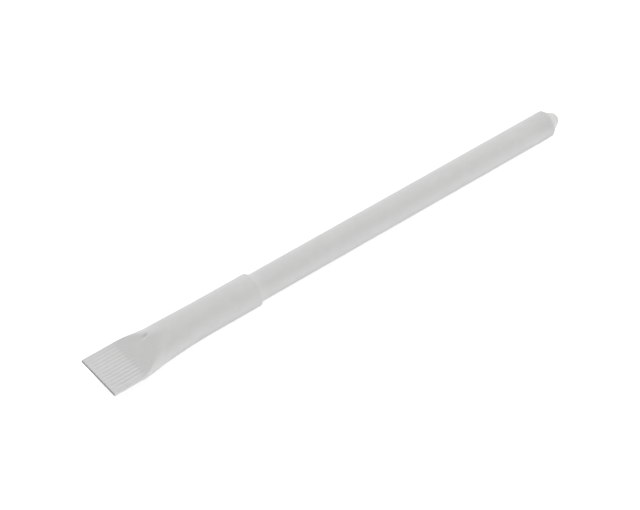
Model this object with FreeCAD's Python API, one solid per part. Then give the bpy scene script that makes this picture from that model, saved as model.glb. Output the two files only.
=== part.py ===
import FreeCAD, Part
import math
import os

from FreeCAD import Vector

# Capped stick ballpoint pen made of rolled paper tubes, lying on its side. Millimetres.
#
# The pen's axis runs along X: the crimped, ribbed end of the cap is at -X and the rear plug at +X. The origin is
# under the middle of the capped pen, on the surface that it lies on, and +Z is up. The crimped end of the cap lies
# flat, parallel to that surface and a little below the axis.
#
# A "station" is a distance along the pen from the cut end of the crimp. row_x() turns a station into a row X.

# ---------------------------------------------------------------- driving dimensions
overall_length = 150.0          # cut end of the crimp to the top of the rear plug, cap on

# Rolled paper tubes
barrel_diameter = 7.8
barrel_wall = 0.75
cap_wall = 0.70
cap_fit_clearance = 0.05        # radial, cap bore over barrel

# Cap, from its mouth to its cut end: a round stretch, the flare, and the crimp
cap_round_length = 14.1
barrel_stop_gap = 2.1           # the barrel's face stops this far short of the flare
crimp_length = 9.3              # pressed flat and ribbed
crimp_thickness = 0.9           # both walls, squeezed thinner than they were
crimp_drop = 0.45               # how far below the pen's axis the jaws closed
crimp_fold_loss = 0.18          # width that each folded side takes up
ramp_length = 10.2              # planes pressed behind the crimp, up to the full diameter
flare_length = 23.0             # from the crimp to where the tube is round again
flare_power = 1.9               # how late the tube widens as it nears the crimp
flare_side_share = 0.75         # height of the flare's oval at the crimp, as a share of the tube's radius
rib_pitch = 1.08
rib_depth = 0.15
rib_groove_radius = 0.80
rib_side_margin = 0.80          # plain strip left at each side of the ribs
slit_half_height = 0.10         # where the cap's inner faces meet behind the crimp

# Rear plug
plug_height = 3.4
plug_spigot_length = 8.0
plug_rim_inset = 0.55           # how far the plug's rim stays inside the barrel's outside
plug_tip_radius = 1.75
plug_tip_fillet = 0.8
plug_core_radius = 2.0
plug_core_depth = 7.0

# Nose cone
nose_length = 10.0              # in front of the barrel's face
nose_spigot_length = 9.0
nose_shoulder_inset = 0.10      # below the barrel's outside, so that the cap slides over
nose_shoulder_length = 1.2
nose_tip_wall = 0.55            # around the point, at the front
nose_belly = 0.35               # how far the cone's side stands out of a straight line
refill_stop_depth = 3.0         # the refill tube stops this far behind the cone's front

# Both spigots
spigot_lead_in = 0.5
vent_slot_width = 0.8
vent_slot_depth = 0.35

# Refill
refill_diameter = 3.0
refill_bore_diameter = 1.6
refill_rear_gap = 9.6           # free space between the refill's rear end and the plug
empty_tail_length = 10.0        # empty tube behind the grease
follower_length = 4.0
follower_clearance = 0.02
point_diameter = 2.3
point_exposed_length = 2.5
point_shank_length = 4.0
point_cone_length = 2.0
point_lip_width = 0.10
point_capillary_radius = 0.35
ball_diameter = 1.0
ball_clearance = 0.012
ball_stand_out = 0.28           # how far the ball stands out of the housing's lip

# ---------------------------------------------------------------- sizes worked out from them
barrel_radius = barrel_diameter / 2
barrel_bore_radius = barrel_radius - barrel_wall
cap_bore_radius = barrel_radius + cap_fit_clearance
cap_radius = cap_bore_radius + cap_wall
axis_height = cap_radius        # the cap's round stretch touches the surface
refill_radius = refill_diameter / 2
refill_bore_radius = refill_bore_diameter / 2
point_radius = point_diameter / 2
ball_radius = ball_diameter / 2
socket_radius = ball_radius + ball_clearance

crimp_half_width = math.pi * cap_radius / 2 - crimp_fold_loss      # a pressed tube keeps its circumference
crimp_half_thickness = crimp_thickness / 2
flare_side_height = flare_side_share * cap_radius
upper_groove_count = int(2 * (crimp_half_width - rib_side_margin) / rib_pitch)

crimp_station = crimp_length
round_station = crimp_length + flare_length
mouth_station = round_station + cap_round_length
barrel_front_station = round_station + barrel_stop_gap
barrel_rear_station = overall_length - plug_height
plug_front_station = barrel_rear_station - plug_spigot_length
nose_front_station = barrel_front_station - nose_length
nose_rear_station = barrel_front_station + nose_spigot_length
ball_station = nose_front_station - point_exposed_length + ball_radius
lip_station = ball_station - ball_radius + ball_stand_out
tube_front_station = nose_front_station + refill_stop_depth
tube_rear_station = plug_front_station - refill_rear_gap
ink_front_station = tube_front_station + point_shank_length
follower_rear_station = tube_rear_station - empty_tail_length
follower_front_station = follower_rear_station - follower_length

FLARE_SECTIONS = 6
OVERSHOOT = 1.0                 # how far a cutting tool runs past what it cuts
ROUND_OFF = 1e-9
X_AXIS = Vector(1, 0, 0)


def row_x(station):
    return station - overall_length / 2


def on_axis(station):
    return Vector(row_x(station), 0, axis_height)


def rod(start, end, radius):
    """A round rod on the pen's axis between two stations."""
    return Part.makeCylinder(radius, end - start, on_axis(start), X_AXIS)


def turned(outline):
    """A solid of revolution about the pen's axis, from a closed list of (station, radius) points.

    A point with a third value, (station, radius, belly), is reached by an arc instead of a straight line. The arc
    stands out of the line by that much.
    """
    edges = []
    for (s0, r0, *_), (s1, r1, *belly) in zip(outline, outline[1:] + outline[:1]):
        start = Vector(row_x(s0), 0, axis_height + r0)
        end = Vector(row_x(s1), 0, axis_height + r1)
        if belly:
            chord = end - start
            outward = Vector(-chord.z, 0, chord.x).normalize()
            if outward.z < 0:
                outward = outward * -1
            middle = (start + end) * 0.5 + outward * belly[0]
            edges.append(Part.Arc(start, middle, end).toShape())
        else:
            edges.append(Part.makeLine(start, end))
    return Part.Face(Part.Wire(edges)).revolve(on_axis(0), X_AXIS, 360)


def vent_slot(start, end):
    """A straight slot along the underside of a spigot in the barrel's bore, so that air can pass it."""
    corner = Vector(row_x(start), -vent_slot_width / 2, axis_height - barrel_bore_radius - OVERSHOOT)
    return Part.makeBox(end - start, vent_slot_width, vent_slot_depth + OVERSHOOT, corner)


# ---------------------------------------------------------------- rolled paper tubes
def barrel_tube():
    outside = rod(barrel_front_station, barrel_rear_station, barrel_radius)
    return outside.cut(rod(barrel_front_station, barrel_rear_station, barrel_bore_radius))


def flare_oval(station, inset):
    """The cap's oval at a station of the flare, moved inwards by inset. It always starts on the +Y side."""
    share = ((round_station - station) / flare_length) ** flare_power
    half_width = cap_radius + (crimp_half_width - cap_radius) * share - inset
    half_height = cap_radius + (flare_side_height - cap_radius) * share - inset
    centre = on_axis(station) - Vector(0, 0, crimp_drop * share)
    wide = centre + Vector(0, half_width, 0)
    high = centre + Vector(0, 0, half_height - ROUND_OFF)     # where the oval is a circle, this keeps it valid
    return Part.Wire(Part.Ellipse(wide, high, centre).toShape())


def flare(inset):
    """The flared part of the cap before the ramps are pressed in."""
    stations = [round_station - flare_length * i / (FLARE_SECTIONS - 1) for i in range(FLARE_SECTIONS)]
    return Part.makeLoft([flare_oval(station, inset) for station in stations], True, False)


def jaw_middle(station):
    """Height above the pen's axis of the plane midway between the jaws' ramps: it meets the axis where they end."""
    return -crimp_drop * (1 - (station - crimp_station) / ramp_length)


def pressed_space(inset):
    """The space left between the jaws' two ramps, moved inwards by inset."""
    slope = (cap_radius - crimp_half_thickness) / ramp_length
    start_height = max(crimp_half_thickness - inset, slit_half_height)
    bend = crimp_station + (start_height - (crimp_half_thickness - inset)) / slope
    end_height = start_height + slope * (round_station - bend)
    upper = [(crimp_station, start_height), (bend, start_height), (round_station, end_height)]
    if bend == crimp_station:
        upper = upper[1:]
    corners = upper + [(station, -height) for station, height in reversed(upper)]
    side = -crimp_half_width - OVERSHOOT
    points = [Vector(row_x(at), side, axis_height + jaw_middle(at) + height) for at, height in corners]
    face = Part.Face(Part.makePolygon(points + points[:1]))
    return face.extrude(Vector(0, -2 * side, 0))


def groove_circles():
    """The sections of the jaws' round teeth. Upper and lower grooves interlock, half a pitch apart."""
    reach = crimp_half_thickness - rib_depth + rib_groove_radius
    circles = []
    for side, count in ((1, upper_groove_count), (-1, upper_groove_count + 1)):
        for i in range(count):
            height = axis_height - crimp_drop + side * reach
            centre = Vector(row_x(0), (i - (count - 1) / 2) * rib_pitch, height)
            circles.append(Part.Face(Part.Wire(Part.Circle(centre, X_AXIS, rib_groove_radius).toShape())))
    return circles


def crimp_band():
    """The flat, ribbed band: both walls pressed together."""
    oval = Part.Face(flare_oval(crimp_station, 0))
    oval.translate(Vector(-crimp_length, 0, 0))
    half_width = crimp_half_width + OVERSHOOT
    corners = [
        on_axis(0) + Vector(0, side * half_width, end * crimp_half_thickness - crimp_drop)
        for side, end in ((-1, -1), (1, -1), (1, 1), (-1, 1))
    ]
    slab = Part.Face(Part.makePolygon(corners + corners[:1]))
    return oval.common(slab).cut(groove_circles()).extrude(Vector(crimp_length, 0, 0))


def cap_tube():
    outside = flare(0).common(pressed_space(0))
    outside = outside.fuse([crimp_band(), rod(round_station, mouth_station, cap_radius)])
    inside = flare(cap_wall).common(pressed_space(cap_wall))
    inside = inside.fuse(rod(round_station, mouth_station, cap_bore_radius))
    return outside.cut(inside)


# ---------------------------------------------------------------- moulded pieces
def rear_plug():
    rim = barrel_rear_station
    core_end = plug_front_station + plug_core_depth
    plug = turned([
        (plug_front_station, plug_core_radius),
        (plug_front_station, barrel_bore_radius - spigot_lead_in / 2),
        (plug_front_station + spigot_lead_in, barrel_bore_radius),
        (rim, barrel_bore_radius),
        (rim, barrel_radius - plug_rim_inset),
        (overall_length, plug_tip_radius),
        (overall_length, 0),
        (core_end, 0),
        (core_end, plug_core_radius),
    ])
    tip = [
        edge for edge in plug.Edges
        if len(edge.Vertexes) == 1 and abs(edge.Vertexes[0].X - row_x(overall_length)) < 1e-6
    ]
    return plug.makeFillet(plug_tip_fillet, tip).cut(vent_slot(plug_front_station - OVERSHOOT, rim))


def nose_cone():
    front = nose_front_station
    face = barrel_front_station
    shoulder_radius = barrel_radius - nose_shoulder_inset
    cone = turned([
        (front, point_radius),
        (front, point_radius + nose_tip_wall),
        (face - nose_shoulder_length, shoulder_radius, nose_belly),
        (face, shoulder_radius),
        (face, barrel_bore_radius),
        (nose_rear_station - spigot_lead_in, barrel_bore_radius),
        (nose_rear_station, barrel_bore_radius - spigot_lead_in / 2),
        (nose_rear_station, refill_radius),
        (tube_front_station, refill_radius),
        (tube_front_station, point_radius),
    ])
    return cone.cut(vent_slot(face, nose_rear_station + OVERSHOOT))


# ---------------------------------------------------------------- refill
def refill_tube():
    outside = rod(tube_front_station, tube_rear_station, refill_radius)
    return outside.cut(rod(tube_front_station, tube_rear_station, refill_bore_radius))


def point_housing():
    lip_depth = ball_station - lip_station
    lip_opening = math.sqrt(socket_radius**2 - lip_depth**2)
    housing = turned([
        (lip_station, 0),
        (lip_station, lip_opening + point_lip_width),
        (lip_station + point_cone_length, point_radius),
        (tube_front_station, point_radius),
        (tube_front_station, refill_bore_radius),
        (ink_front_station, refill_bore_radius),
        (ink_front_station, 0),
    ])
    socket = Part.makeSphere(socket_radius, on_axis(ball_station))
    return housing.cut([socket, rod(ball_station, ink_front_station + OVERSHOOT, point_capillary_radius)])


def writing_ball():
    return Part.makeSphere(ball_radius, on_axis(ball_station))


def ink_column():
    """The ink in the tube and, ahead of it, the thread of ink in the point, up to the ball's socket."""
    thread = rod(ball_station + socket_radius, ink_front_station + OVERSHOOT, point_capillary_radius)
    return thread.fuse(rod(ink_front_station, follower_front_station, refill_bore_radius))


def grease_follower():
    return rod(follower_front_station, follower_rear_station, refill_bore_radius - follower_clearance)


os.makedirs("parts", exist_ok=True)
for make_piece in (
    barrel_tube,
    cap_tube,
    rear_plug,
    nose_cone,
    refill_tube,
    point_housing,
    writing_ball,
    ink_column,
    grease_follower,
):
    shape = make_piece().removeSplitter()
    assert shape.isValid() and len(shape.Solids) == 1, f"{make_piece.__name__} is not one valid solid"
    shape.exportStep(f"parts/{make_piece.__name__}.step")
    box = shape.optimalBoundingBox()
    print(
        f"{make_piece.__name__:16s} {shape.Volume:8.2f} mm3  x {box.XMin:7.2f} {box.XMax:7.2f}"
        f"  y {box.YMin:6.2f} {box.YMax:6.2f}  z {box.ZMin:6.2f} {box.ZMax:6.2f}"
    )
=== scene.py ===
import math

import bmesh
import bpy
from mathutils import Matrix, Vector, noise


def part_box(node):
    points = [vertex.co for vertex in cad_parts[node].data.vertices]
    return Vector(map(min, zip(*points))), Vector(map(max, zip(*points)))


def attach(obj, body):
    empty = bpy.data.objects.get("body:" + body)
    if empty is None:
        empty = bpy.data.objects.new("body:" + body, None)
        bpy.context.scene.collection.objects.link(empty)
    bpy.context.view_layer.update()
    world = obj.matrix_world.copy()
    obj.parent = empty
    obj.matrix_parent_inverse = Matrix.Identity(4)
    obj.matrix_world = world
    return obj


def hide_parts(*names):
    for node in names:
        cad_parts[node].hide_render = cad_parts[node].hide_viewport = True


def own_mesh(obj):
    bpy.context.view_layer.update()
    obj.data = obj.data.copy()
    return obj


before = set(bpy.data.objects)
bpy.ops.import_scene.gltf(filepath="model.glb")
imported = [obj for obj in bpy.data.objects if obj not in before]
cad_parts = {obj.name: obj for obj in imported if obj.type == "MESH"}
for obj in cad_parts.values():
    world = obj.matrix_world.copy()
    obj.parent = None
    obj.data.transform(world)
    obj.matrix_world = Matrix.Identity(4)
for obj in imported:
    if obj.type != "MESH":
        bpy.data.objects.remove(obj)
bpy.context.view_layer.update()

MM = 0.001


# ------------------------------------------------------------------------------------------------
# Barrel. One sheet of smooth white paper, rolled up tight around a mandrel and glued, then cut to
# length. The sheet's last edge shows as a fine straight step, and its layers show at both ends.
# ------------------------------------------------------------------------------------------------
barrel_low, barrel_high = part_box("barrel_tube")
axis_z = (barrel_low.z + barrel_high.z) / 2
barrel_radius = (barrel_high.z - barrel_low.z) / 2
barrel_wall = 0.75 * MM
barrel_turns = 6
sheet_thickness = 0.118 * MM
barrel_seam_angle = math.radians(-20)
worn_edge = 0.60 * MM            # the outermost layer's edges are rubbed back by this much
wear_power = 4.0                 # how quickly that wear fades from the outermost layer inwards
rubbed_width = 0.02 * MM
points_per_turn = 96
barrel_rings = 13

paper_light = "#D8D8D7"
paper_dark = "#CFCFCE"
# The lightest tone: paper burnished by the jaws, and also the painted highlight beside the cap's mouth.
paper_burnished_and_highlight = "#DADAD9"
cut_paper_light = "#CDCDCC"
cut_paper_dark = "#A9A9A8"
paper_roughness = 0.74
paper_mottle_mm = 2.6
paper_fibre_mm = (2.4, 0.35)     # along and across the pen, drawn coarser than a real fibre so it shows
paper_tooth_mm = 0.22
grain_roughens = 0.16
burnish_lightens = 0.42
burnish_smooths = 0.22
cap_mouth_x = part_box("cap_tube")[1].x
# Painted shade on the cap's edge at its mouth, a painted highlight on the barrel beside it, and painted shade
# at the rear.
painted_light_from = cap_mouth_x - 2.0 * MM
unpainted_tone = 0.5
painted_light_stops = [                   # place along the pen, and tone
    (painted_light_from, unpainted_tone),
    (cap_mouth_x - 0.9 * MM, 0.35),
    (cap_mouth_x - 0.02 * MM, 0.30),
    (cap_mouth_x + 0.02 * MM, 0.95),
    (cap_mouth_x + 2.6 * MM, unpainted_tone),
    (barrel_high.x - 8.0 * MM, unpainted_tone),
    (barrel_high.x - 1.5 * MM, 0.2),
    (barrel_high.x, 0.2),
]
cut_fuzz_mm = 0.12


def linear(hex_colour):
    """An sRGB hex colour as linear RGBA."""
    values = [int(hex_colour[i:i + 2], 16) / 255 for i in (1, 3, 5)]
    return [v / 12.92 if v <= 0.04045 else ((v + 0.055) / 1.055) ** 2.4 for v in values] + [1.0]


def add(tree, kind, inputs=None, **settings):
    """Adds a node with its settings. Inputs are by socket name or number. Each is a value, a socket to link
    from, or a node whose first output is linked."""
    node = tree.nodes.new(kind)
    for name, value in settings.items():
        setattr(node, name, value)
    for socket, value in (inputs or {}).items():
        if isinstance(value, bpy.types.Node):
            value = value.outputs[0]
        if isinstance(value, bpy.types.NodeSocket):
            tree.links.new(value, node.inputs[socket])
        else:
            node.inputs[socket].default_value = value
    return node


def new_material(name):
    """An empty node material and its tree."""
    material = bpy.data.materials.new(name)
    material.use_nodes = True
    material.node_tree.nodes.clear()
    return material, material.node_tree


# Uncoated smooth paper: matt, faintly mottled where the pulp is denser, with a fibre grain along the tube.
# Where the jaws' ramps slid over it, which a piece's "burnished" attribute says, it is lighter and smoother.
# A painted shade darkens the cap's edge at its mouth, a painted highlight lightens a strip of the barrel just
# outside the mouth, and a painted shade darkens the barrel's rear end beside the plug.
rolled_paper, tree = new_material("smooth_white_paper_rolled")
place = add(tree, "ShaderNodeTexCoord").outputs["Object"]
mottle = add(tree, "ShaderNodeTexNoise", {
    "Vector": place, "Scale": 1 / (paper_mottle_mm * MM), "Detail": 4.0,
})
grain_place = add(tree, "ShaderNodeMapping", {
    "Vector": place,
    "Scale": [1 / (paper_fibre_mm[0] * MM)] + [1 / (paper_fibre_mm[1] * MM)] * 2,
})
grain = add(tree, "ShaderNodeTexNoise", {
    "Vector": grain_place, "Scale": 1.0, "Detail": 3.0, "Distortion": 0.6,
})
tooth = add(tree, "ShaderNodeTexNoise", {"Vector": place, "Scale": 1 / (paper_tooth_mm * MM), "Detail": 2.0})
burnished = add(tree, "ShaderNodeAttribute", attribute_name="burnished").outputs["Fac"]
blend = add(tree, "ShaderNodeMath", {0: mottle, 1: grain, 2: 0.25}, operation="MULTIPLY_ADD")
blend = add(tree, "ShaderNodeMath", {0: burnished, 1: burnish_lightens, 2: blend}, operation="MULTIPLY_ADD")
along = add(tree, "ShaderNodeSeparateXYZ", {0: place}).outputs["X"]
along = add(tree, "ShaderNodeMapRange", {"Value": along, "From Min": painted_light_from, "From Max": barrel_high.x})
# Bands of painted shade and painted highlight along the pen, added to the paper's tone.
painted_light_bands = add(tree, "ShaderNodeValToRGB", {"Fac": along})
while len(painted_light_bands.color_ramp.elements) < len(painted_light_stops):
    painted_light_bands.color_ramp.elements.new(1.0)
for stop, (x, tone) in zip(painted_light_bands.color_ramp.elements, painted_light_stops):
    stop.position = (x - painted_light_from) / (barrel_high.x - painted_light_from)
    stop.color = [tone, tone, tone, 1.0]
blend = add(tree, "ShaderNodeMath", {0: painted_light_bands, 1: blend}, operation="ADD")
blend = add(tree, "ShaderNodeMath", {0: blend, 1: -unpainted_tone}, operation="ADD")
colour = add(tree, "ShaderNodeValToRGB", {"Fac": blend})
colour.color_ramp.elements[0].position = 0.10
colour.color_ramp.elements[0].color = linear(paper_dark)
colour.color_ramp.elements[1].position = 0.68
colour.color_ramp.elements[1].color = linear(paper_light)
colour.color_ramp.elements.new(0.95).color = linear(paper_burnished_and_highlight)
smoother = add(tree, "ShaderNodeMath", {
    0: burnished, 1: -burnish_smooths, 2: paper_roughness,
}, operation="MULTIPLY_ADD")
rough = add(tree, "ShaderNodeMath", {0: grain, 1: grain_roughens, 2: smoother}, operation="MULTIPLY_ADD")
relief = add(tree, "ShaderNodeBump", {"Height": grain, "Distance": 0.020 * MM, "Strength": 0.7})
relief = add(tree, "ShaderNodeBump", {"Height": tooth, "Distance": 0.010 * MM, "Strength": 0.6,
                                      "Normal": relief})
shader = add(tree, "ShaderNodeBsdfPrincipled", {
    "Base Color": colour, "Roughness": rough, "Normal": relief,
    "IOR": 1.45, "Specular IOR Level": 0.35, "Sheen Weight": 0.35, "Sheen Roughness": 0.35,
})
add(tree, "ShaderNodeOutputMaterial", {"Surface": shader})

# The same paper where a knife cut it: rougher and darker, because loose fibre ends hold shade between them.
cut_paper, tree = new_material("white_paper_knife_cut")
place = add(tree, "ShaderNodeTexCoord").outputs["Object"]
fuzz = add(tree, "ShaderNodeTexNoise", {"Vector": place, "Scale": 1 / (cut_fuzz_mm * MM), "Detail": 3.0})
colour = add(tree, "ShaderNodeValToRGB", {"Fac": fuzz})
colour.color_ramp.elements[0].position = 0.34
colour.color_ramp.elements[0].color = linear(cut_paper_dark)
colour.color_ramp.elements[1].position = 0.64
colour.color_ramp.elements[1].color = linear(cut_paper_light)
relief = add(tree, "ShaderNodeBump", {"Height": fuzz, "Distance": 0.03 * MM, "Strength": 0.8})
shader = add(tree, "ShaderNodeBsdfPrincipled", {
    "Base Color": colour, "Normal": relief, "Roughness": 0.93, "Specular IOR Level": 0.2,
})
add(tree, "ShaderNodeOutputMaterial", {"Surface": shader})


def node_group(name, sockets):
    """An empty Geometry Nodes tree with named inputs, and its input node."""
    group = bpy.data.node_groups.new(name, "GeometryNodeTree")
    for socket, kind in [("Geometry", "NodeSocketGeometry")] + sockets:
        group.interface.new_socket(socket, in_out="INPUT", socket_type=kind)
    group.interface.new_socket("Geometry", in_out="OUTPUT", socket_type="NodeSocketGeometry")
    return group, add(group, "NodeGroupInput").outputs


def grown(name, group, values, mesh=None):
    """A plain mesh object: what a Geometry Nodes tree makes of a mesh, with its named inputs set."""
    seedling = bpy.data.objects.new(name, mesh or bpy.data.meshes.new(name))
    bpy.context.collection.objects.link(seedling)
    modifier = seedling.modifiers.new(group.name, "NODES")
    modifier.node_group = group
    for item in group.interface.items_tree:
        if item.in_out == "INPUT" and item.name in values:
            modifier[item.identifier] = values[item.name]
    graph = bpy.context.evaluated_depsgraph_get()
    made = bpy.data.meshes.new_from_object(seedling.evaluated_get(graph), depsgraph=graph)
    seedling.modifiers.remove(modifier)
    seedling.data = made
    return seedling


rolling, given = node_group("roll a sheet", [
    ("Start", "NodeSocketFloat"), ("End", "NodeSocketFloat"), ("Axis height", "NodeSocketFloat"),
    ("Inner radius", "NodeSocketFloat"), ("Outer radius", "NodeSocketFloat"),
    ("Inner angle", "NodeSocketFloat"), ("Outer angle", "NodeSocketFloat"), ("Worn edge", "NodeSocketFloat"),
    ("Wear power", "NodeSocketFloat"),
    ("Points along sheet", "NodeSocketInt"), ("Points across sheet", "NodeSocketInt"),
    ("Paper", "NodeSocketMaterial"),
])
sheet = add(rolling, "GeometryNodeMeshGrid", {
    "Size X": 1.0, "Size Y": 1.0,
    "Vertices X": given["Points along sheet"], "Vertices Y": given["Points across sheet"],
})
flat = add(rolling, "ShaderNodeSeparateXYZ", {0: add(rolling, "GeometryNodeInputPosition")}).outputs
angle = add(rolling, "ShaderNodeMapRange", {
    0: flat[0], 1: -0.5, 2: 0.5, 3: given["Inner angle"], 4: given["Outer angle"],
})
radius = add(rolling, "ShaderNodeMapRange", {
    0: flat[0], 1: -0.5, 2: 0.5, 3: given["Inner radius"], 4: given["Outer radius"],
})
rolled = add(rolling, "ShaderNodeMapRange", {0: flat[0], 1: -0.5, 2: 0.5, 3: 0.0, 4: 1.0})
outermost = add(rolling, "ShaderNodeMath", {0: rolled, 1: given["Wear power"]}, operation="POWER")
worn = add(rolling, "ShaderNodeMath", {0: outermost, 1: given["Worn edge"]}, operation="MULTIPLY")
x_from = add(rolling, "ShaderNodeMath", {0: given["Start"], 1: worn}, operation="ADD")
x_to = add(rolling, "ShaderNodeMath", {0: given["End"], 1: worn}, operation="SUBTRACT")
# The rows crowd towards the ends, where the layers are worn.
x = add(rolling, "ShaderNodeMapRange", {
    0: flat[1], 1: -0.5, 2: 0.5, 3: x_from, 4: x_to,
}, interpolation_type="SMOOTHERSTEP")
cosine = add(rolling, "ShaderNodeMath", {0: angle}, operation="COSINE")
sine = add(rolling, "ShaderNodeMath", {0: angle}, operation="SINE")
y = add(rolling, "ShaderNodeMath", {0: radius, 1: cosine}, operation="MULTIPLY")
z = add(rolling, "ShaderNodeMath", {0: radius, 1: sine, 2: given["Axis height"]}, operation="MULTIPLY_ADD")
tube = add(rolling, "GeometryNodeSetPosition", {
    "Geometry": sheet, "Position": add(rolling, "ShaderNodeCombineXYZ", {0: x, 1: y, 2: z}),
})
tube = add(rolling, "GeometryNodeRealizeInstances", {0: tube})
tube = add(rolling, "GeometryNodeSetMaterial", {"Geometry": tube, "Material": given["Paper"]})
add(rolling, "NodeGroupOutput", {0: tube})

barrel = grown("paper_barrel", rolling, {
    "Start": barrel_low.x,
    "End": barrel_high.x,
    "Axis height": axis_z,
    "Inner radius": barrel_radius - barrel_wall + sheet_thickness / 2,
    "Outer radius": barrel_radius - sheet_thickness / 2,
    "Inner angle": barrel_seam_angle - math.tau * barrel_turns,
    "Outer angle": barrel_seam_angle,
    "Worn edge": worn_edge,
    "Wear power": wear_power,
    "Points along sheet": barrel_turns * points_per_turn + 1,
    "Points across sheet": barrel_rings,
    "Paper": rolled_paper,
})
barrel.data.materials.append(cut_paper)
barrel.data.shade_smooth()
thickness = barrel.modifiers.new("Sheet thickness", "SOLIDIFY")
thickness.thickness = sheet_thickness
thickness.offset = 0.0
thickness.material_offset_rim = 1
softened = barrel.modifiers.new("Rubbed edges", "BEVEL")
softened.width = rubbed_width
softened.segments = 1
softened.limit_method = "ANGLE"
softened.angle_limit = math.radians(60)
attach(barrel, "barrel")
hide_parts("barrel_tube")


# ------------------------------------------------------------------------------------------------
# Nose cone. Moulded white polypropylene with a spigot pushed into the barrel. It holds the refill
# and its point, and the cap covers it.
# ------------------------------------------------------------------------------------------------
nose_low, nose_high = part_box("nose_cone")
nose_front = nose_low.x / MM
nose_rear = nose_high.x / MM
barrel_front = barrel_low.x / MM
bore = (barrel_radius - barrel_wall) / MM
nose_shoulder_radius = (nose_high.z - nose_low.z) / 2 / MM
refill_low, refill_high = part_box("refill_tube")
refill_radius = (refill_high.z - refill_low.z) / 2 / MM
refill_front = refill_low.x / MM
point_low, point_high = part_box("point_housing")
point_radius = (point_high.z - point_low.z) / 2 / MM
nose_tip_wall = 0.55
nose_shoulder_length = 1.2
nose_belly = 0.35
face_gap = 0.02                  # between a moulded head and the barrel's cut end
spigot_lead_length = 0.5         # each spigot starts with a short taper, so that it finds its bore
spigot_lead_depth = 0.25
mould_flow_mm = 4.0
mould_spark_mm = 0.18
plastic_white = "#D0D0CE"
plastic_shade = "#C8C8C6"


def rounded(outline, steps=5):
    """An outline of (x, radius, rounding) points in millimetres, each corner rounded by its third value."""
    points = []
    for i, (x, r, rounding) in enumerate(outline):
        corner = Vector((x, r))
        back = Vector(outline[i - 1][:2]) - corner
        ahead = Vector(outline[(i + 1) % len(outline)][:2]) - corner
        if rounding == 0:
            points.append(corner)
            continue
        half_angle = back.angle(ahead) / 2
        cut = min(rounding / math.tan(half_angle), back.length * 0.48, ahead.length * 0.48)
        start = corner + back.normalized() * cut
        end = corner + ahead.normalized() * cut
        for k in range(steps + 1):
            t = k / steps
            points.append(start * (1 - t) ** 2 + corner * 2 * t * (1 - t) + end * t ** 2)
    return points


def turned(name, outline, around=96):
    """A closed solid of revolution about the pen's axis: a full body where the outline starts and ends on the
    axis, and a ring elsewhere."""
    points = rounded(outline)
    solid = outline[0][1] == 0 and outline[-1][1] == 0
    shell = bmesh.new()
    rings = []
    for x, r in points:
        if r < 1e-6:
            rings.append([shell.verts.new((x * MM, 0, axis_z))] * around)
            continue
        rings.append([
            shell.verts.new((
                x * MM,
                r * MM * math.cos(math.tau * k / around),
                axis_z + r * MM * math.sin(math.tau * k / around),
            ))
            for k in range(around)
        ])
    for first, second in zip(rings, rings[1:] if solid else rings[1:] + rings[:1]):
        for k in range(around):
            corners = [first[k], first[(k + 1) % around], second[(k + 1) % around], second[k]]
            corners = [v for n, v in enumerate(corners) if v not in corners[:n]]
            if len(corners) > 2:
                shell.faces.new(corners)
    bmesh.ops.recalc_face_normals(shell, faces=shell.faces)
    mesh = bpy.data.meshes.new(name)
    shell.to_mesh(mesh)
    shell.free()
    mesh.shade_smooth()
    mesh.set_sharp_from_angle(angle=math.radians(35))
    piece = bpy.data.objects.new(name, mesh)
    bpy.context.collection.objects.link(piece)
    return piece


# Moulded polypropylene: even and slightly waxy, with the mould's fine spark texture and faint flow shading.
moulded, tree = new_material("white_polypropylene_moulded")
place = add(tree, "ShaderNodeTexCoord").outputs["Object"]
flow = add(tree, "ShaderNodeTexNoise", {
    "Vector": place, "Scale": 1 / (mould_flow_mm * MM), "Detail": 2.0, "Distortion": 1.2,
})
spark = add(tree, "ShaderNodeTexNoise", {"Vector": place, "Scale": 1 / (mould_spark_mm * MM), "Detail": 2.0})
colour = add(tree, "ShaderNodeValToRGB", {"Fac": flow})
colour.color_ramp.elements[0].position = 0.35
colour.color_ramp.elements[0].color = linear(plastic_shade)
colour.color_ramp.elements[1].position = 0.65
colour.color_ramp.elements[1].color = linear(plastic_white)
rough = add(tree, "ShaderNodeMapRange", {"Value": spark, "To Min": 0.36, "To Max": 0.52})
relief = add(tree, "ShaderNodeBump", {"Height": spark, "Distance": 0.006 * MM, "Strength": 0.5})
shader = add(tree, "ShaderNodeBsdfPrincipled", {
    "Base Color": colour, "Roughness": rough, "Normal": relief,
    "IOR": 1.49, "Subsurface Weight": 0.15, "Subsurface Radius": [0.9, 0.85, 0.8],
    "Subsurface Scale": 0.5 * MM,
})
add(tree, "ShaderNodeOutputMaterial", {"Surface": shader})

shoulder_x = barrel_front - nose_shoulder_length
tip_radius = point_radius + nose_tip_wall
belly = [
    (
        nose_front + (shoulder_x - nose_front) * t,
        tip_radius + (nose_shoulder_radius - tip_radius) * t + nose_belly * 4 * t * (1 - t),
        0,
    )
    for t in [k / 12 for k in range(1, 12)]
]
nose = turned("nose_cone_moulding", [
    (nose_front, point_radius, 0.05),
    (nose_front, tip_radius, 0.15),
    *belly,
    (shoulder_x, nose_shoulder_radius, 0.4),
    (barrel_front - face_gap, nose_shoulder_radius, 0.08),
    (barrel_front - face_gap, bore, 0.0),
    (nose_rear - spigot_lead_length, bore, 0.1),
    (nose_rear, bore - spigot_lead_depth, 0.08),
    (nose_rear, refill_radius, 0.08),
    (refill_front, refill_radius, 0.05),
    (refill_front, point_radius, 0.0),
])
nose.data.materials.append(moulded)
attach(nose, "barrel")
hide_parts("nose_cone")


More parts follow.
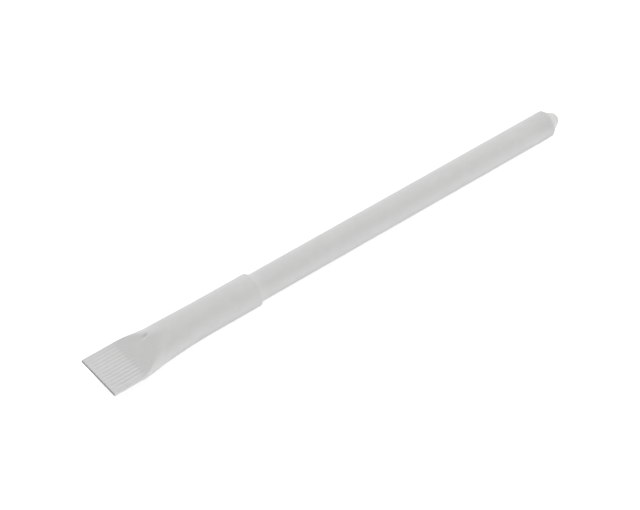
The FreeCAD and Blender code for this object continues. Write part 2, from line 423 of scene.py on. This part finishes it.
# ------------------------------------------------------------------------------------------------
# Writing point. A turned brass housing pushed into the nose cone and the refill tube, with its thin
# lip rolled over the ball. Turning leaves fine rings round it.
# ------------------------------------------------------------------------------------------------
ball_low, ball_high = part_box("writing_ball")
ball_centre = (ball_low.x + ball_high.x) / 2 / MM
ball_radius = (ball_high.z - ball_low.z) / 2 / MM
ball_clearance = 0.012
socket_radius = ball_radius + ball_clearance
point_front = point_low.x / MM
point_rear = point_high.x / MM
lip_depth = ball_centre - point_front
lip_opening = math.sqrt(socket_radius ** 2 - lip_depth ** 2)
lip_wall = 0.10
point_cone_length = 2.0
point_shank_radius = 0.8
point_capillary_radius = 0.35
turning_ring_mm = 0.09           # far coarser than a real tool leaves, so that the rings show
brass_stain_mm = 0.8
brass_light = "#D9BE7E"
brass_dark = "#B8954F"

brass, tree = new_material("brass_turned")
place = add(tree, "ShaderNodeTexCoord").outputs["Object"]
tool_rings = add(tree, "ShaderNodeTexWave", {
    "Vector": place, "Scale": 0.05 / (turning_ring_mm * MM), "Distortion": 0.6, "Detail": 1.0,
}, wave_type="BANDS", bands_direction="X")
stain = add(tree, "ShaderNodeTexNoise", {"Vector": place, "Scale": 1 / (brass_stain_mm * MM), "Detail": 3.0})
colour = add(tree, "ShaderNodeValToRGB", {"Fac": stain})
colour.color_ramp.elements[0].position = 0.36
colour.color_ramp.elements[0].color = linear(brass_dark)
colour.color_ramp.elements[1].position = 0.62
colour.color_ramp.elements[1].color = linear(brass_light)
rough = add(tree, "ShaderNodeMapRange", {"Value": stain, "To Min": 0.20, "To Max": 0.34})
relief = add(tree, "ShaderNodeBump", {"Height": tool_rings, "Distance": 0.004 * MM, "Strength": 0.6})
shader = add(tree, "ShaderNodeBsdfPrincipled", {
    "Base Color": colour, "Metallic": 1.0, "Roughness": rough, "Normal": relief,
})
add(tree, "ShaderNodeOutputMaterial", {"Surface": shader})

socket = [
    (ball_centre + socket_radius * math.cos(a), socket_radius * math.sin(a), 0)
    for a in [math.radians(d) for d in range(150, 50, -10)]
    if ball_centre + socket_radius * math.cos(a) > point_front + 0.02
]
housing = turned("point_housing_turned", [
    (point_front, lip_opening, 0.0),
    (point_front, lip_opening + lip_wall, 0.03),
    (point_front + point_cone_length, point_radius, 0.08),
    (refill_front, point_radius, 0.05),
    (refill_front, point_shank_radius, 0.0),
    (point_rear, point_shank_radius, 0.1),
    (point_rear, point_capillary_radius, 0.05),
    (socket[-1][0] + 0.05, point_capillary_radius, 0.0),
    *reversed(socket),
])
housing.data.materials.append(brass)
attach(housing, "barrel")
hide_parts("point_housing")


# ------------------------------------------------------------------------------------------------
# Writing ball. Tungsten carbide, lapped round and left finely matt so that it grips the paper and
# the ink. It turns in the housing's socket.
# ------------------------------------------------------------------------------------------------
lapping_mm = 0.05
carbide_light = "#A7A9AD"
carbide_dark = "#7D8085"

carbide, tree = new_material("tungsten_carbide_lapped")
place = add(tree, "ShaderNodeTexCoord").outputs["Object"]
lapping = add(tree, "ShaderNodeTexNoise", {"Vector": place, "Scale": 1 / (lapping_mm * MM), "Detail": 3.0})
colour = add(tree, "ShaderNodeValToRGB", {"Fac": lapping})
colour.color_ramp.elements[0].position = 0.38
colour.color_ramp.elements[0].color = linear(carbide_dark)
colour.color_ramp.elements[1].position = 0.60
colour.color_ramp.elements[1].color = linear(carbide_light)
rough = add(tree, "ShaderNodeMapRange", {"Value": lapping, "To Min": 0.25, "To Max": 0.42})
relief = add(tree, "ShaderNodeBump", {"Height": lapping, "Distance": 0.002 * MM, "Strength": 0.5})
shader = add(tree, "ShaderNodeBsdfPrincipled", {
    "Base Color": colour, "Metallic": 1.0, "Roughness": rough, "Normal": relief,
})
add(tree, "ShaderNodeOutputMaterial", {"Surface": shader})

sphere = bmesh.new()
bmesh.ops.create_icosphere(sphere, subdivisions=4, radius=ball_radius * MM)
bmesh.ops.translate(sphere, verts=sphere.verts, vec=(ball_centre * MM, 0, axis_z))
ball_mesh = bpy.data.meshes.new("writing_ball_lapped")
sphere.to_mesh(ball_mesh)
sphere.free()
ball_mesh.shade_smooth()
ball_mesh.materials.append(carbide)
ball = bpy.data.objects.new("writing_ball_lapped", ball_mesh)
bpy.context.collection.objects.link(ball)
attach(ball, "writing_ball")
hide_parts("writing_ball")


# ------------------------------------------------------------------------------------------------
# Refill. An extruded polypropylene tube on the point's shank, with blue-black ink paste and, behind
# it, a plug of clear grease that follows the ink down the tube as the pen is used.
# ------------------------------------------------------------------------------------------------
ink_low, ink_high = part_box("ink_column")
ink_radius = (ink_high.z - ink_low.z) / 2 / MM
ink_rear = ink_high.x / MM
ink_gap = 0.01                   # between the ink and the follower
thread_gap = 0.01                # between the ink in the point and the ball's socket
thread_clearance = 0.005
die_line_mm = (12, 0.25)         # along and across the tube
ink_pigment_mm = 0.7
grease_smear_mm = 0.6
tube_tint = "#E3E8E6"
tube_tint_dense = "#D6DCD9"
ink_blue = "#10184A"
ink_black = "#080C26"
grease_pale = "#E6DFB8"
grease_deep = "#CFC48E"

extruded, tree = new_material("polypropylene_extruded_translucent")
place = add(tree, "ShaderNodeTexCoord").outputs["Object"]
die_place = add(tree, "ShaderNodeMapping", {
    "Vector": place,
    "Scale": [1 / (die_line_mm[0] * MM)] + [1 / (die_line_mm[1] * MM)] * 2,
})
die_lines = add(tree, "ShaderNodeTexNoise", {"Vector": die_place, "Scale": 1.0, "Detail": 2.0})
colour = add(tree, "ShaderNodeValToRGB", {"Fac": die_lines})
colour.color_ramp.elements[0].color = linear(tube_tint_dense)
colour.color_ramp.elements[1].color = linear(tube_tint)
relief = add(tree, "ShaderNodeBump", {"Height": die_lines, "Distance": 0.006 * MM, "Strength": 0.5})
shader = add(tree, "ShaderNodeBsdfPrincipled", {
    "Base Color": colour, "Normal": relief, "Roughness": 0.28, "IOR": 1.49,
    "Transmission Weight": 0.6,
})
add(tree, "ShaderNodeOutputMaterial", {"Surface": shader})

ink_paste, tree = new_material("ballpoint_ink_paste")
place = add(tree, "ShaderNodeTexCoord").outputs["Object"]
pigment = add(tree, "ShaderNodeTexNoise", {
    "Vector": place, "Scale": 1 / (ink_pigment_mm * MM), "Detail": 3.0,
})
colour = add(tree, "ShaderNodeValToRGB", {"Fac": pigment})
colour.color_ramp.elements[0].color = linear(ink_black)
colour.color_ramp.elements[1].color = linear(ink_blue)
relief = add(tree, "ShaderNodeBump", {"Height": pigment, "Distance": 0.005 * MM, "Strength": 0.4})
shader = add(tree, "ShaderNodeBsdfPrincipled", {
    "Base Color": colour, "Normal": relief, "Roughness": 0.16, "IOR": 1.45,
})
add(tree, "ShaderNodeOutputMaterial", {"Surface": shader})

grease, tree = new_material("silicone_grease_clear")
place = add(tree, "ShaderNodeTexCoord").outputs["Object"]
smear = add(tree, "ShaderNodeTexNoise", {
    "Vector": place, "Scale": 1 / (grease_smear_mm * MM), "Detail": 3.0, "Distortion": 1.0,
})
colour = add(tree, "ShaderNodeValToRGB", {"Fac": smear})
colour.color_ramp.elements[0].color = linear(grease_deep)
colour.color_ramp.elements[1].color = linear(grease_pale)
relief = add(tree, "ShaderNodeBump", {"Height": smear, "Distance": 0.02 * MM, "Strength": 0.6})
shader = add(tree, "ShaderNodeBsdfPrincipled", {
    "Base Color": colour, "Normal": relief, "Roughness": 0.22, "IOR": 1.40,
    "Transmission Weight": 0.55,
})
add(tree, "ShaderNodeOutputMaterial", {"Surface": shader})

for node_name, finish in (("refill_tube", extruded), ("grease_follower", grease)):
    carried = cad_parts[node_name]
    carried.data.materials.clear()
    carried.data.materials.append(finish)

ink = turned("ink_in_tube", [
    (point_rear, 0, 0),
    (point_rear, ink_radius, 0.1),
    (ink_rear - ink_gap, ink_radius, 0.05),
    (ink_rear - ink_gap, 0, 0),
], around=48)
ink.data.materials.append(ink_paste)
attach(ink, "barrel")
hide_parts("ink_column")
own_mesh(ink)   # the gap to the follower stays as it was

ink_thread = turned("ink_in_point", [
    (ball_centre + socket_radius + thread_gap, 0, 0),
    (ball_centre + socket_radius + thread_gap, point_capillary_radius - thread_clearance, 0.02),
    (point_rear, point_capillary_radius - thread_clearance, 0.02),
    (point_rear, 0, 0),
], around=32)
ink_thread.data.materials.append(ink_paste)
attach(ink_thread, "barrel")
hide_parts("ink_column")


# ------------------------------------------------------------------------------------------------
# Rear plug. Moulded white polypropylene. Its spigot is a press fit in the barrel, and its low
# conical head has a rounded top with the small scar of the mould's gate in it.
# ------------------------------------------------------------------------------------------------
plug_low, plug_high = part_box("rear_plug")
plug_front = plug_low.x / MM
plug_top = plug_high.x / MM
plug_rim_radius = (plug_high.z - plug_low.z) / 2 / MM
barrel_rear = barrel_high.x / MM
plug_tip_radius = 1.5
plug_tip_rounding = 1.05
plug_rim_rounding = 0.35
plug_core_radius = 2.0
plug_core_depth = 7.0
gate_radius = 0.42
gate_depth = 0.16

plug = turned("rear_plug_moulding", [
    (plug_top - gate_depth, 0, 0),
    (plug_top - gate_depth, gate_radius * 0.7, 0.05),
    (plug_top - 0.02, gate_radius, 0.08),
    (plug_top, plug_tip_radius, plug_tip_rounding),
    (barrel_rear + face_gap, plug_rim_radius, plug_rim_rounding),
    (barrel_rear + face_gap, bore, 0.0),
    (plug_front + spigot_lead_length, bore, 0.1),
    (plug_front, bore - spigot_lead_depth, 0.08),
    (plug_front, plug_core_radius, 0.1),
    (plug_front + plug_core_depth, plug_core_radius, 0.3),
    (plug_front + plug_core_depth, 0, 0),
], around=128)
plug.data.materials.append(moulded)
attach(plug, "barrel")
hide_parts("rear_plug")


# ------------------------------------------------------------------------------------------------
# Cap. A wider rolled paper tube. One end is pressed flat, with glue, between toothed jaws that leave
# interlocking ribs, and is cut square. Behind the ribs the jaws' ramps fold the tube back to round.
# ------------------------------------------------------------------------------------------------
cap_low, cap_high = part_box("cap_tube")
cut_x = cap_low.x / MM
cap_length = (cap_high.x - cap_low.x) / MM
cap_radius = (cap_high.z - cap_low.z) / 2 / MM
crimp_half_width = (cap_high.y - cap_low.y) / 2 / MM
cap_wall = 0.70
crimp_thickness = 0.9            # both walls, squeezed thinner than they were
crimp_drop = 0.45                # the jaws closed this far below the pen's axis
crimp_length = 9.3
ramp_length = 10.2
ramp_bend = 0.5                  # how softly the ramp bends out of the flat
flare_length = 23.0
flare_power = 1.9
flare_side_height = 0.75 * cap_radius
slit_half_height = 0.10
lap_step = 0.09                  # the sheet's last edge stands this far above the layer under it
cap_seam_angle = math.radians(285)
cap_points_around = 480
cap_plies = 6
slack_side = 0.16                # share of its height that the +Y shoulder lost when the ramp was pressed
slack_station = 17.0
slack_reach = 3.6
dent_station = 15.2              # a small dent beside the upper ramp, where the slack shoulder folded in
dent_y = 1.9
dent_depth = 0.50
dent_reach = (0.8, 0.5)          # along and across the pen
crease_station = 14.0            # small creases in the folded paper, and how far along the cap they reach
crease_reach = 6.5
crease_size = (5.0, 2.2)         # along and across the pen
crease_height = 0.055
crease_sink = 0.02
crease_sideways = 0.4            # share of a crease's push that goes sideways
burnish_strength = 0.65
burnish_lead = 0.2               # the rubbed paper starts this far before the ramps
burnish_fade_in = 0.6
burnish_fade_out = 6.0
rib_pitch = 1.08
rib_depths = (0.125, 0.07)       # at the -Y side and at the +Y side, where the jaws bit less
ribbed_half_width = 6.48
rib_sharpness = 1.5              # above 1, the grooves are narrower than the ribs between them
rib_run_in = 1.2                 # length over which the ribs reach their full depth from the cut end
rib_run_out = 1.4                # length over which they fade out at the ramp
rib_share_at_cut = 0.6
rib_side_margin = 0.35


def press_height(station):
    """Half the height that the jaws leave at a station, with a soft bend where the ramp starts."""
    slope = (cap_radius - crimp_thickness / 2) / ramp_length
    past = station - crimp_length
    return crimp_thickness / 2 + slope * (past + math.sqrt(past * past + ramp_bend * ramp_bend)) / 2


def jaw_middle(station):
    """Height above the axis of the plane midway between the jaws: it meets the axis where their ramps end."""
    return -crimp_drop * min(1 - (station - crimp_length) / ramp_length, 1.0)


def limited(height, limit, softness):
    """A height held under a limit, with a rounded shoulder."""
    size = abs(height)
    if size <= limit - softness:
        return height
    if size >= limit + softness:
        size = limit
    else:
        size = limit - (limit + softness - size) ** 2 / (4 * softness)
    return math.copysign(size, height)


def cap_point(station, turn, depth):
    """A point of the cap in millimetres from its axis: depth is measured inwards from its outside."""
    angle = cap_seam_angle + math.tau * turn
    share = min(max((crimp_length + flare_length - station) / flare_length, 0.0), 1.0) ** flare_power
    lap = lap_step * turn
    half_width = cap_radius + (crimp_half_width - cap_radius) * share - depth - lap
    half_height = cap_radius + (flare_side_height - cap_radius) * share - depth - lap
    if math.sin(angle) > 0:
        on_slack_side = min(max(math.cos(angle), 0.0) / 0.35, 1.0)
        slack = math.exp(-((station - slack_station) / slack_reach) ** 2) * on_slack_side
        half_height *= 1 - slack_side * slack
    y = half_width * math.cos(angle)
    z = half_height * math.sin(angle) - crimp_drop * share
    limit = max(press_height(station) - depth, slit_half_height)
    ramp_share = min(max((station - crimp_length) / ramp_length, 0.0), 1.0)
    softness = min(0.14 + 0.85 * ramp_share, limit)
    between_jaws = jaw_middle(station)
    return y, between_jaws + limited(z - between_jaws, limit, softness)


def crumple(station, y, z):
    """How far in or out the folded paper stands, in mm: small creases, and a dent in the upper side."""
    folded = math.exp(-((station - crease_station) / crease_reach) ** 2)
    place = Vector((station / crease_size[0], y / crease_size[1], z / crease_size[1]))
    waves = crease_height * noise.fractal(place, 1.0, 2.0, 3) * folded
    if z < jaw_middle(station):
        return waves - crease_sink * folded
    from_dent = ((station - dent_station) / dent_reach[0]) ** 2 + ((y - dent_y) / dent_reach[1]) ** 2
    return waves - dent_depth * math.exp(-from_dent) - crease_sink * folded


def middle(station, turn):
    """The point of the pressed tube's middle line under or over a point of its outside."""
    y, z = cap_point(station, turn, 0.0)
    y += lap_step * turn * math.cos(cap_seam_angle + math.tau * turn)
    reach = crimp_half_width - crimp_thickness / 2
    return min(max(y, -reach), reach), jaw_middle(station)


# Cut end of the crimp, from its middle line outwards: share of the way in from the outside, and station.
cut_end = [
    (1.0, 0.24), (0.97, 0.13), (0.90, 0.03), (0.72, 0.0), (0.5, 0.0), (0.3, 0.0), (0.13, 0.0), (0.04, 0.03),
]
# Rows of the mesh along the cap, closer together where the paper bends. At the mouth, each has its depth too.
crimp_stations = [0.10, 0.2, 0.35, 0.55, 0.8, 1.1, 1.6, 2.4, 3.4, 4.4, 5.4, 6.2, 6.8]
crimp_stations += [7.4 + 0.2 * k for k in range(12)]
ramp_stations = [9.8 + 0.32 * k for k in range(36)]
flare_stations = [21.5 + 1.2 * k for k in range(10)]
round_stations = [35.0, 38.0, 41.0, 44.0]
outside = [(s, 0.0) for s in crimp_stations + ramp_stations + flare_stations + round_stations]
mouth = [
    (cap_length - 0.10, 0.0), (cap_length - 0.03, 0.02), (cap_length, 0.08), (cap_length, cap_wall - 0.08),
    (cap_length - 0.08, cap_wall),
]
inside_stations = [45.0, 42.0, 38.0, 34.0, 31.0, 28.5, 26.0, 24.0, 22.0, 20.5]
inside_stations += [19.5 - 0.75 * k for k in range(15)]
inside = [(s, cap_wall) for s in inside_stations]

shell = bmesh.new()
depth_layer = shell.verts.layers.float.new("depth")
burnish_layer = shell.verts.layers.float.new("burnished")
cut_layer = shell.faces.layers.int.new("cut")


def ring(station, places):
    """A ring of vertices at a station, from a list of (y, z, depth share)."""
    made = []
    burnish = min(max((station - crimp_length + burnish_lead) / burnish_fade_in, 0.0), 1.0)
    burnish *= min(max((crimp_length + ramp_length - station) / burnish_fade_out, 0.0), 1.0)
    for y, z, share in places:
        vertex = shell.verts.new(((cut_x + station) * MM, y * MM, axis_z + z * MM))
        vertex[depth_layer] = share
        vertex[burnish_layer] = burnish_strength * burnish
        made.append(vertex)
    return made


turns = [k / cap_points_around for k in range(cap_points_around + 1)]
rings = []
for share, station in cut_end:
    places = []
    for turn in turns:
        outer = cap_point(0.0, turn, 0.0)
        inner = middle(0.0, turn)
        places.append((
            outer[0] + (inner[0] - outer[0]) * share,
            outer[1] + (inner[1] - outer[1]) * share,
            share,
        ))
    rings.append((ring(station, places), True))
for station, depth in outside + mouth + inside:
    places = []
    for turn in turns:
        y, z = cap_point(station, turn, depth)
        if depth == 0.0:
            push = crumple(station, y, z) / max(math.hypot(y, z), 1e-6)
            y += y * push * crease_sideways
            z += z * push
        places.append((y, z, depth / cap_wall))
    rings.append((ring(station, places), (station, depth) == mouth[2]))
rings.append((ring(crimp_length, [(*middle(crimp_length, turn), 1.0) for turn in turns]), False))

around = len(turns)
for (first, cut), (second, _) in zip(rings, rings[1:]):
    for k in range(around):
        face = shell.faces.new([first[k], second[k], second[(k + 1) % around], first[(k + 1) % around]])
        face[cut_layer] = int(cut)
        face.smooth = True
bmesh.ops.remove_doubles(shell, verts=shell.verts, dist=1e-8)
bmesh.ops.recalc_face_normals(shell, faces=shell.faces)
pressed_mesh = bpy.data.meshes.new("crimped_paper_cap")
shell.to_mesh(pressed_mesh)
shell.free()

# Cut edges of the rolled sheet, where the layers show as fine lines.
plies, tree = new_material("white_paper_layers_cut")
depth_share = add(tree, "ShaderNodeAttribute", attribute_name="depth").outputs["Fac"]
place = add(tree, "ShaderNodeTexCoord").outputs["Object"]
fuzz = add(tree, "ShaderNodeTexNoise", {"Vector": place, "Scale": 1 / (cut_fuzz_mm * MM), "Detail": 3.0})
layer = add(tree, "ShaderNodeMath", {0: depth_share, 1: float(cap_plies)}, operation="MULTIPLY")
layer = add(tree, "ShaderNodeMath", {0: fuzz, 1: 0.5, 2: layer}, operation="MULTIPLY_ADD")
layer = add(tree, "ShaderNodeMath", {0: layer, 1: 1.0}, operation="PINGPONG")
tone = add(tree, "ShaderNodeMath", {0: fuzz, 1: layer}, operation="MULTIPLY")
colour = add(tree, "ShaderNodeValToRGB", {"Fac": tone})
colour.color_ramp.elements[0].position = 0.05
colour.color_ramp.elements[0].color = linear(cut_paper_dark)
colour.color_ramp.elements[1].position = 0.45
colour.color_ramp.elements[1].color = linear(cut_paper_light)
relief = add(tree, "ShaderNodeBump", {"Height": tone, "Distance": 0.05 * MM, "Strength": 0.8})
shader = add(tree, "ShaderNodeBsdfPrincipled", {
    "Base Color": colour, "Normal": relief, "Roughness": 0.93, "Specular IOR Level": 0.2,
})
add(tree, "ShaderNodeOutputMaterial", {"Surface": shader})

crimping, given = node_group("crimp with toothed jaws", [
    ("Rib pitch", "NodeSocketFloat"), ("Depth at -Y", "NodeSocketFloat"), ("Depth at +Y", "NodeSocketFloat"),
    ("Sharpness", "NodeSocketFloat"), ("Ribbed half width", "NodeSocketFloat"),
    ("Side margin", "NodeSocketFloat"), ("Cut end", "NodeSocketFloat"),
    ("Full depth from", "NodeSocketFloat"), ("Full depth to", "NodeSocketFloat"),
    ("Ribs end", "NodeSocketFloat"), ("Crimp height", "NodeSocketFloat"), ("Half thickness", "NodeSocketFloat"),
    ("Paper", "NodeSocketMaterial"), ("Cut paper", "NodeSocketMaterial"),
])
where = add(crimping, "ShaderNodeSeparateXYZ", {0: add(crimping, "GeometryNodeInputPosition")}).outputs
height = add(crimping, "ShaderNodeMath", {0: where[2], 1: given["Crimp height"]}, operation="SUBTRACT")
side = add(crimping, "ShaderNodeMath", {0: height, 1: given["Half thickness"]}, operation="DIVIDE")
side = add(crimping, "ShaderNodeMapRange", {0: side, 1: -1.0, 2: 1.0, 3: -1.0, 4: 1.0})
ribs = add(crimping, "ShaderNodeMath", {0: where[1], 1: given["Rib pitch"]}, operation="DIVIDE")
phase = add(crimping, "ShaderNodeMath", {0: ribs, 1: math.tau}, operation="MULTIPLY")
wave = add(crimping, "ShaderNodeMath", {0: phase}, operation="COSINE")
# The upper teeth bite where the wave is high and the lower ones where it is low, so the two interlock.
tooth = add(crimping, "ShaderNodeMath", {0: wave, 1: side}, operation="ADD")
tooth = add(crimping, "ShaderNodeMath", {0: tooth, 1: 0.5}, operation="MULTIPLY")
tooth = add(crimping, "ShaderNodeMath", {0: tooth}, operation="ABSOLUTE")
tooth = add(crimping, "ShaderNodeMath", {0: tooth, 1: given["Sharpness"]}, operation="POWER")
left_edge = add(crimping, "ShaderNodeMath", {0: given["Ribbed half width"], 1: -1.0}, operation="MULTIPLY")
bite = add(crimping, "ShaderNodeMapRange", {
    0: where[1], 1: left_edge, 2: given["Ribbed half width"],
    3: given["Depth at -Y"], 4: given["Depth at +Y"],
})
out = add(crimping, "ShaderNodeMath", {0: where[1]}, operation="ABSOLUTE")
in_from_side = add(crimping, "ShaderNodeMath", {0: given["Ribbed half width"], 1: out}, operation="SUBTRACT")
for strength in (
    add(crimping, "ShaderNodeMapRange", {
        0: in_from_side, 1: 0.0, 2: given["Side margin"],
    }, interpolation_type="SMOOTHSTEP"),
    add(crimping, "ShaderNodeMapRange", {
        0: where[0], 1: given["Cut end"], 2: given["Full depth from"], 3: rib_share_at_cut,
    }, interpolation_type="SMOOTHSTEP"),
    add(crimping, "ShaderNodeMapRange", {
        0: where[0], 1: given["Full depth to"], 2: given["Ribs end"], 3: 1.0, 4: 0.0,
    }, interpolation_type="SMOOTHSTEP"),
    tooth,
    side,
):
    bite = add(crimping, "ShaderNodeMath", {0: bite, 1: strength}, operation="MULTIPLY")
inwards = add(crimping, "ShaderNodeMath", {0: bite, 1: -1.0}, operation="MULTIPLY")
ribbed = add(crimping, "GeometryNodeSetPosition", {
    "Geometry": given["Geometry"], "Offset": add(crimping, "ShaderNodeCombineXYZ", {2: inwards}),
})
ribbed = add(crimping, "GeometryNodeRealizeInstances", {0: ribbed})
ribbed = add(crimping, "GeometryNodeSetMaterial", {"Geometry": ribbed, "Material": given["Paper"]})
is_cut = add(crimping, "GeometryNodeInputNamedAttribute", {"Name": "cut"}, data_type="INT")
ribbed = add(crimping, "GeometryNodeSetMaterial", {
    "Geometry": ribbed, "Selection": is_cut, "Material": given["Cut paper"],
})
add(crimping, "NodeGroupOutput", {0: ribbed})

cap = grown("crimped_paper_cap", crimping, {
    "Rib pitch": rib_pitch * MM,
    "Depth at -Y": rib_depths[0] * MM,
    "Depth at +Y": rib_depths[1] * MM,
    "Sharpness": rib_sharpness,
    "Ribbed half width": ribbed_half_width * MM,
    "Side margin": rib_side_margin * MM,
    "Cut end": cut_x * MM,
    "Full depth from": (cut_x + rib_run_in) * MM,
    "Full depth to": (cut_x + crimp_length - rib_run_out / 2) * MM,
    "Ribs end": (cut_x + crimp_length + rib_run_out / 2) * MM,
    "Crimp height": axis_z - crimp_drop * MM,
    "Half thickness": crimp_thickness / 2 * MM,
    "Paper": rolled_paper,
    "Cut paper": plies,
}, pressed_mesh)
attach(cap, "cap")
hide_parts("cap_tube")


# ------------------------------------------------------------------------------------------------
# Stage. A pale floor, soft lamps, and a long lens that looks down along the pen from its cap end.
# ------------------------------------------------------------------------------------------------
camera_azimuth = math.radians(-38.85)
camera_elevation = math.radians(44.65)
camera_distance = 0.537
camera_lens = 117.85
camera_shift = (-0.0326, -0.0244)
room_light = 0.572
dim_angles = (math.radians(20), math.radians(45))   # dark within the first, fully bright outside the second
floor_half_size = 3
floor_glow = 0.6
board_white = "#F6F6F6"
lamp_distance = 1.2
lamp_width = 0.9
lamps = (                        # name, direction from the pen, power
    ("near low softbox", (0.1, -1.0, 0.15), 8.0),
    ("plug end softbox", (1.0, 0.0, 0.4), 3.4),
    ("far high softbox", (0.0, 0.8, 0.8), 7.1),
)
to_camera = Vector((
    math.sin(camera_azimuth) * math.cos(camera_elevation),
    -math.cos(camera_azimuth) * math.cos(camera_elevation),
    math.sin(camera_elevation),
))

floor_mesh = bpy.data.meshes.new("floor")
floor_mesh.from_pydata(
    [(x * floor_half_size, y * floor_half_size, 0) for x, y in ((-1, -1), (1, -1), (1, 1), (-1, 1))],
    [], [(0, 1, 2, 3)],
)
floor = bpy.data.objects.new("floor", floor_mesh)
bpy.context.collection.objects.link(floor)
floor_finish, tree = new_material("matt_white_board")
matt = add(tree, "ShaderNodeBsdfDiffuse", {"Color": linear(board_white)})
glow = add(tree, "ShaderNodeEmission", {"Color": [1, 1, 1, 1], "Strength": floor_glow})
both = add(tree, "ShaderNodeAddShader", {0: matt, 1: glow})
ray = add(tree, "ShaderNodeLightPath").outputs
seen = add(tree, "ShaderNodeMath", {0: ray["Is Camera Ray"], 1: ray["Is Glossy Ray"]}, operation="MAXIMUM")
seen = add(tree, "ShaderNodeMath", {0: seen, 1: ray["Is Transmission Ray"]}, operation="MAXIMUM")
look = add(tree, "ShaderNodeMixShader", {0: seen, 1: matt, 2: both})
add(tree, "ShaderNodeOutputMaterial", {"Surface": look})
floor_mesh.materials.append(floor_finish)

world = bpy.data.worlds.new("soft room")
bpy.context.scene.world = world
world.use_nodes = True
tree = world.node_tree
tree.nodes.clear()
ray = add(tree, "ShaderNodeLightPath").outputs
seen = add(tree, "ShaderNodeMath", {0: ray["Is Camera Ray"], 1: ray["Is Glossy Ray"]}, operation="MAXIMUM")
seen = add(tree, "ShaderNodeMath", {0: seen, 1: ray["Is Transmission Ray"]}, operation="MAXIMUM")
# The room is bright all round, but nothing lights the pen from behind the camera.
way = add(tree, "ShaderNodeTexCoord").outputs["Generated"]
facing = add(tree, "ShaderNodeVectorMath", {0: way, 1: to_camera}, operation="DOT_PRODUCT")
dimming = add(tree, "ShaderNodeMapRange", {
    "Value": facing.outputs["Value"],
    "From Min": math.cos(dim_angles[1]), "From Max": math.cos(dim_angles[0]),
    "To Min": room_light, "To Max": 0.0,
}, interpolation_type="SMOOTHSTEP")
dome = add(tree, "ShaderNodeBackground", {"Color": [1, 1, 1, 1], "Strength": dimming})
backdrop = add(tree, "ShaderNodeBackground", {"Color": [1, 1, 1, 1], "Strength": 1.0})
sky = add(tree, "ShaderNodeMixShader", {0: seen, 1: dome, 2: backdrop})
add(tree, "ShaderNodeOutputWorld", {"Surface": sky})

for name, direction, power in lamps:
    lamp_data = bpy.data.lights.new(name, "AREA")
    lamp_data.shape = "DISK"
    lamp_data.size = lamp_width
    lamp_data.energy = power
    lamp = bpy.data.objects.new(name, lamp_data)
    aim = Vector(direction).normalized()
    lamp.location = aim * lamp_distance
    lamp.rotation_euler = aim.to_track_quat("Z", "Y").to_euler()
    bpy.context.collection.objects.link(lamp)

target = Vector((0, 0, axis_z))
camera_data = bpy.data.cameras.new("camera")
camera_data.lens = camera_lens
camera_data.sensor_width = 36.0
camera_data.shift_x, camera_data.shift_y = camera_shift
camera_data.clip_start = 0.01
camera = bpy.data.objects.new("camera", camera_data)
camera.location = target + to_camera * camera_distance
camera.rotation_euler = to_camera.to_track_quat("Z", "Y").to_euler()
bpy.context.collection.objects.link(camera)
bpy.context.scene.camera = camera
bpy.context.scene.view_settings.view_transform = "Standard"
